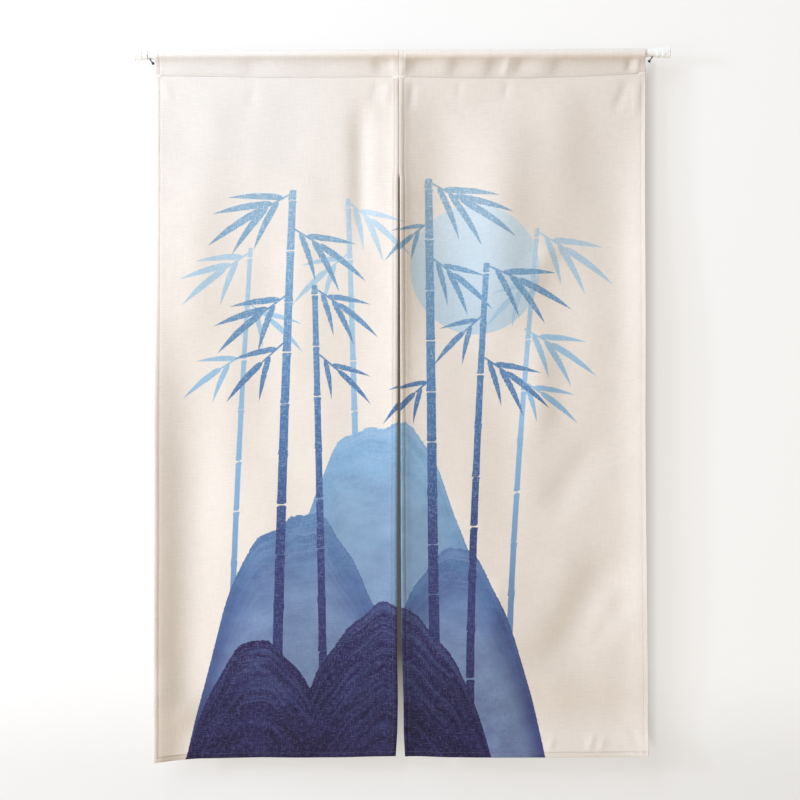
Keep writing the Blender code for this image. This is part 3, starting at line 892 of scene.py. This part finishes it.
def printed_linen():
    """Plain-woven linen-look cloth, printed with graded ink on its face.

    Uneven yarns give the eye a fine crossed grain with slubs; the ink lies on the proud
    yarns and leaves pale flecks between them, and the back shows it faintly.
    """
    material, tree, shader = new_material("plain_woven_linen_printed", Roughness=0.88,
                                          Specular_IOR_Level=0.25, Sheen_Weight=0.12,
                                          Sheen_Roughness=0.5)
    flat = node(tree, "ShaderNodeUVMap", uv_map="flat_cloth").outputs[0]
    yarn = yarn_grain(tree, flat)
    slub = streaks(tree, flat, 14.0, 1.1, 0.0, 7.7)
    blotch = streaks(tree, flat, 60.0, 60.0, 3.0, 1.3)
    tone = maths(tree, "MULTIPLY_ADD", maths(tree, "SUBTRACT", yarn, 0.5), 0.18, 0.975)
    tone = maths(tree, "MULTIPLY_ADD", maths(tree, "SUBTRACT", blotch, 0.5), 0.05, tone)
    # Painted shading from the mesh: painted shade above 0, on the hems and the rod pocket, and
    # painted light below 0
    painted_shading = stored(tree, "painted_shading")
    tone = maths(tree, "MULTIPLY_ADD", painted_shading, -0.050, tone)
    ground = blend_colour(tree, slub, linear("#DDD2C7"), linear("#E3D9CF"))
    colour, cover, height = ink_colour(tree, flat, yarn, ground)
    # Pale flecks where proud yarns took less ink, more of them in the dark foot
    fleck_up = streaks(tree, flat, 1.7, 11.0, 1.0, 5.5)
    fleck_level = streaks(tree, flat, 11.0, 1.7, 1.0, 9.1)
    fleck = remap(tree, maths(tree, "MAXIMUM", fleck_up, fleck_level), 0.55, 0.78,
                  at_high=0.46, kind="LINEAR")
    pale = height_ramp(tree, height, ((0.2, "#DCE6EC"), (0.7, "#9FB8D0"), (0.95, "#6D6E9C"),
                                      (1.2, "#565287")))
    flecked = blend_colour(tree, maths(tree, "MULTIPLY", fleck, cover), colour, pale)
    strike = maths(tree, "MULTIPLY_ADD", stored(tree, "printed_face"), 0.68, 0.32)
    seen = blend_colour(tree, strike, ground, flecked)
    # Painted daylight: towards the window, the top of the left panel is drawn whiter. The flat
    # map has the left panel below 0.424 in x.
    painted_daylight = maths(tree, "MULTIPLY", remap(tree, height, -0.45, -0.05),
                     remap(tree, axis_of(tree, flat, 0), 0.20, 0.42, 1.0, 0.0))
    # Painted shade is also a little warmer, painted light a little cooler, and the painted daylight
    # cooler
    tint = {0: tone}
    for channel, warmer, cooler in ((1, -0.008, 0.032), (2, -0.018, 0.066)):
        warmed = maths(tree, "MULTIPLY_ADD", painted_shading, warmer, tone)
        tint[channel] = maths(tree, "MULTIPLY_ADD", painted_daylight, cooler, warmed)
    tint = node(tree, "ShaderNodeCombineColor", tint).outputs[0]
    toned = blend_colour(tree, 1.0, seen, tint, "MULTIPLY")
    tree.links.new(toned, shader.inputs["Base Color"])
    add_bump(tree, shader, maths(tree, "MULTIPLY_ADD", slub, 0.35, yarn), 0.40, 0.0009)
    return material


def sewing_thread():
    """Spun polyester thread in the cloth's colour: matt, a little lighter than the ink
    where the print was laid over it."""
    material, tree, shader = new_material("spun_polyester_thread", Roughness=0.7, Sheen_Weight=0.2)
    flat = node(tree, "ShaderNodeUVMap", uv_map="flat_cloth").outputs[0]
    yarn = yarn_grain(tree, flat)
    colour, cover, _ = ink_colour(tree, flat, yarn, linear("#A2958A"))
    worn = maths(tree, "MULTIPLY", cover, maths(tree, "MULTIPLY", yarn, 0.52))
    tree.links.new(blend_colour(tree, worn, colour, linear("#8F8AC0")), shader.inputs["Base Color"])
    return material


def speckle(tree, scale, detail):
    """Even noise in the object's own space."""
    place = node(tree, "ShaderNodeTexCoord").outputs["Object"]
    values = {"Vector": place, "Scale": scale, "Detail": detail}
    return node(tree, "ShaderNodeTexNoise", values).outputs["Fac"]


def paint(tree, shader, share, under, over):
    """Gives a shader its colour, mixed from two hex codes."""
    mixed = blend_colour(tree, share, linear(under), linear(over))
    tree.links.new(mixed, shader.inputs["Base Color"])


def lacquered_steel():
    """White baked lacquer on thin steel tube: satin, with a faint orange-peel ripple."""
    material, tree, shader = new_material("baked_lacquer_on_steel_tube", Roughness=0.34,
                                          Coat_Weight=0.25, Coat_Roughness=0.2)
    paint(tree, shader, speckle(tree, 35.0, 4.0), "#EFEEEA", "#F8F7F5")
    add_bump(tree, shader, speckle(tree, 650.0, 2.0), 0.12, 0.0003)
    return material


def moulded_plastic():
    """Moulded white polypropylene: softly glossy, a little milky, with a fine mould grain."""
    material, tree, shader = new_material("moulded_polypropylene", Roughness=0.42,
                                          Subsurface_Weight=0.08, Subsurface_Scale=0.002)
    paint(tree, shader, speckle(tree, 90.0, 3.0), "#EDEDE9", "#F7F7F4")
    add_bump(tree, shader, speckle(tree, 1400.0, 2.0), 0.15, 0.0002)
    return material


def blued_steel():
    """Drawn steel wire, heat-darkened: near black, with a dull metal gleam."""
    material, tree, shader = new_material("blued_drawn_steel", Metallic=1.0)
    patches = speckle(tree, 420.0, 3.0)
    paint(tree, shader, patches, "#0B0A08", "#241F1B")
    rough = remap(tree, patches, 0.0, 1.0, 0.32, 0.6, "LINEAR")
    tree.links.new(rough, shader.inputs["Roughness"])
    return material


def finish_solids(material, *names):
    """Solids that keep their shape get their finish."""
    for name in names:
        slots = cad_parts[name].data.materials
        slots.clear()
        slots.append(material)


def away(tree, value, middle):
    """How far a number lies from a middle value."""
    return maths(tree, "ABSOLUTE", maths(tree, "SUBTRACT", value, middle))


def matt_wall():
    """Pale matt wall paint, seen from the front only.

    It glows a little, though it is no lamp, which keeps its shadows pale. Less glow towards the
    floor paints shade below the hem, less beside the cloth's right edge paints its shadow, where
    the cloth keeps the room's light off it, and none behind the slit paints shade in the gap."""
    material, tree, shader = new_material("pale_matt_wall", Base_Color=linear("#979695"),
                                          Emission_Color=(1.0, 0.985, 0.965, 1.0), Roughness=0.95)
    place = node(tree, "ShaderNodeTexCoord").outputs["Object"]
    x, z = axis_of(tree, place, 0), axis_of(tree, place, 2)
    low = remap(tree, z, -1.28, -1.05, 0.50, 0.61)
    # Painted shade in the slit: no glow on the wall behind it
    off_slit = remap(tree, away(tree, x, 0.0), 0.006, 0.032)
    beyond_slit = remap(tree, away(tree, z, -0.62), 0.42, 0.60, kind="LINEAR")
    glow = maths(tree, "MULTIPLY", low, maths(tree, "MAXIMUM", off_slit, beyond_slit))
    # Painted shadow beside the cloth's right edge: the glow falls to 0.6 there
    off_edge = maths(tree, "DIVIDE", away(tree, x, 0.4305), 0.0200)
    beyond_edge = remap(tree, away(tree, z, -0.605), 0.565, 0.605, kind="LINEAR")
    clear_of_edge = maths(tree, "MAXIMUM", off_edge, beyond_edge)
    beside = remap(tree, clear_of_edge, 0.0, 1.0, 0.60, 1.0, "LINEAR")
    tree.links.new(maths(tree, "MULTIPLY", glow, beside), shader.inputs["Emission Strength"])
    behind = node(tree, "ShaderNodeNewGeometry").outputs["Backfacing"]
    clear = node(tree, "ShaderNodeBsdfTransparent").outputs[0]
    choose = node(tree, "ShaderNodeMixShader", {0: behind, 1: shader.outputs[0], 2: clear})
    tree.links.new(choose.outputs[0], tree.nodes["Material Output"].inputs["Surface"])
    return material


def make_stage():
    """A plain pale wall behind the cloth, and a floor of pale wood colour, which warms the
    foot of the cloth."""
    wall_x, wall_y, floor_z, wall_top = 2.2, 0.0006, -1.80, 0.90
    corners = [(-wall_x, wall_y, floor_z), (wall_x, wall_y, floor_z),
               (wall_x, wall_y, wall_top), (-wall_x, wall_y, wall_top)]
    wall = new_stage_piece("wall_backdrop", corners, matt_wall())
    floor_material, _, _ = new_material("pale_matt_floor", Base_Color=linear("#E2CFB6"),
                                        Roughness=0.9)
    floor_x, near_y, far_y = 4.0, -5.0, 3.0
    corners = [(-floor_x, near_y, floor_z), (floor_x, near_y, floor_z),
               (floor_x, far_y, floor_z), (-floor_x, far_y, floor_z)]
    floor = new_stage_piece("floor", corners, floor_material)


def new_stage_piece(name, corners, material):
    """A flat sheet of the stage."""
    mesh = bpy.data.meshes.new(name)
    mesh.from_pydata(corners, [], [(0, 1, 2, 3)])
    mesh.materials.append(material)
    piece = bpy.data.objects.new(name, mesh)
    bpy.context.scene.collection.objects.link(piece)
    return piece


def add_light(name, place, target, size, watts, colour):
    """A soft oblong light aimed at a point."""
    lamp = bpy.data.lights.new(name, "AREA")
    lamp.shape = "RECTANGLE"
    lamp.size, lamp.size_y = size
    lamp.energy = watts
    lamp.color = colour
    holder = bpy.data.objects.new(name, lamp)
    holder.location = place
    holder.rotation_euler = (Vector(target) - Vector(place)).to_track_quat("-Z", "Y").to_euler()
    bpy.context.scene.collection.objects.link(holder)


def light_scene():
    """Cool daylight from the left: a broad window high up, one at the side, and a far one
    that rakes the wall. The room round it sends back a warmer light."""
    world = bpy.data.worlds.new("warm_room")
    bpy.context.scene.world = world
    world.use_nodes = True
    background = world.node_tree.nodes["Background"]
    background.inputs["Color"].default_value = (0.96, 0.87, 0.72, 1.0)
    background.inputs["Strength"].default_value = 0.442
    middle = (0.0, 0.0, -0.5)
    daylight = (0.82, 0.93, 1.10)
    add_light("raking_window", (-6.4, -2.5, 0.7), middle, (0.5, 0.9), 200.0, (0.81, 0.93, 1.08))
    add_light("broad_window", (-1.9, -2.3, 2.3), middle, (2.4, 2.4), 90.0, daylight)
    add_light("side_window", (-2.7, -1.8, -0.3), middle, (1.6, 2.2), 62.0, daylight)
    view = bpy.context.scene.view_settings
    view.view_transform = "Standard"
    view.look = "None"


def aim_camera():
    """The photograph's camera: level, square to the wall, at the picture's scale."""
    lens = bpy.data.cameras.new("camera")
    lens.sensor_width = SENSOR
    frame_width = PHOTO_PIXELS * MM_PER_PIXEL / 1000
    lens.lens = SENSOR * (CAMERA_DISTANCE - ROD_TO_WALL) / frame_width
    camera = bpy.data.objects.new("camera", lens)
    z = (ROD_PIXEL - PHOTO_PIXELS / 2) * MM_PER_PIXEL / 1000
    camera.location = (0.0, -CAMERA_DISTANCE, z)
    camera.rotation_euler = (math.pi / 2, 0.0, 0.0)
    bpy.context.scene.collection.objects.link(camera)
    bpy.context.scene.camera = camera


def main():
    """Dresses the frame."""
    aim_camera()
    linen = printed_linen()
    thread = sewing_thread()
    for side in ("left", "right"):
        cloth = make_cloth(side, linen)
        sewing = sew_panel(side, thread)
    sew_seam(thread)
    finish_solids(lacquered_steel(), "rod_tube")
    finish_solids(moulded_plastic(), "left_end_cap", "right_end_cap")
    finish_solids(blued_steel(), "left_nail", "right_nail")
    make_stage()
    light_scene()


main()
